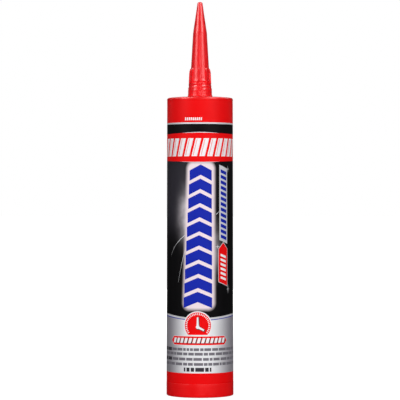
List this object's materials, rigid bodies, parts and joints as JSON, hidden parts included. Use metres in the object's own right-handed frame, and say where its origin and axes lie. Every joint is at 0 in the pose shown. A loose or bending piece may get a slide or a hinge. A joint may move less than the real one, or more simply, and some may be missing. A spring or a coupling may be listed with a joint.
{
  "type": "construction adhesive cartridge",
  "caption": "Rigid plastic adhesive cartridge: tapered barrel with open rear and sliding piston, printed sleeve, and a long finned screw-on nozzle with closed tip.",
  "frame": {"origin": "centre of the rear rim, on the plane the cartridge stands on", "axes": "+Z along the barrel towards the nozzle's tip, -Y towards the front of the label"},
  "size_m": [0.05, 0.05, 0.2932],
  "materials": {
    "barrel_plastic": "red high-density polyethylene, moulded semi-gloss",
    "label_film": "printed film with black, silver and red fields",
    "seal_foil": "heat-sealed foil",
    "piston_plastic": "natural polyethylene",
    "adhesive_paste": "thick off-white paste",
    "nozzle_plastic": "red low-density polyethylene, moulded semi-gloss"
  },
  "bodies": {
    "barrel": {"barrel": "barrel_plastic", "label": "label_film", "neck_seal": "seal_foil", "adhesive": "adhesive_paste"},
    "piston": {"piston": "piston_plastic"},
    "nozzle": {"nozzle": "nozzle_plastic"}
  },
  "joints": [
    {"name": "piston_slide", "type": "slide", "parent": "barrel", "child": "piston", "axis": [0, 0, 1], "range_m": [0, 0.155], "deforming": ["adhesive"]},
    {"name": "nozzle_lift", "type": "slide", "parent": "barrel", "child": "nozzle", "axis": [0, 0, 1], "range_m": [0, 0.02]}
  ]
}
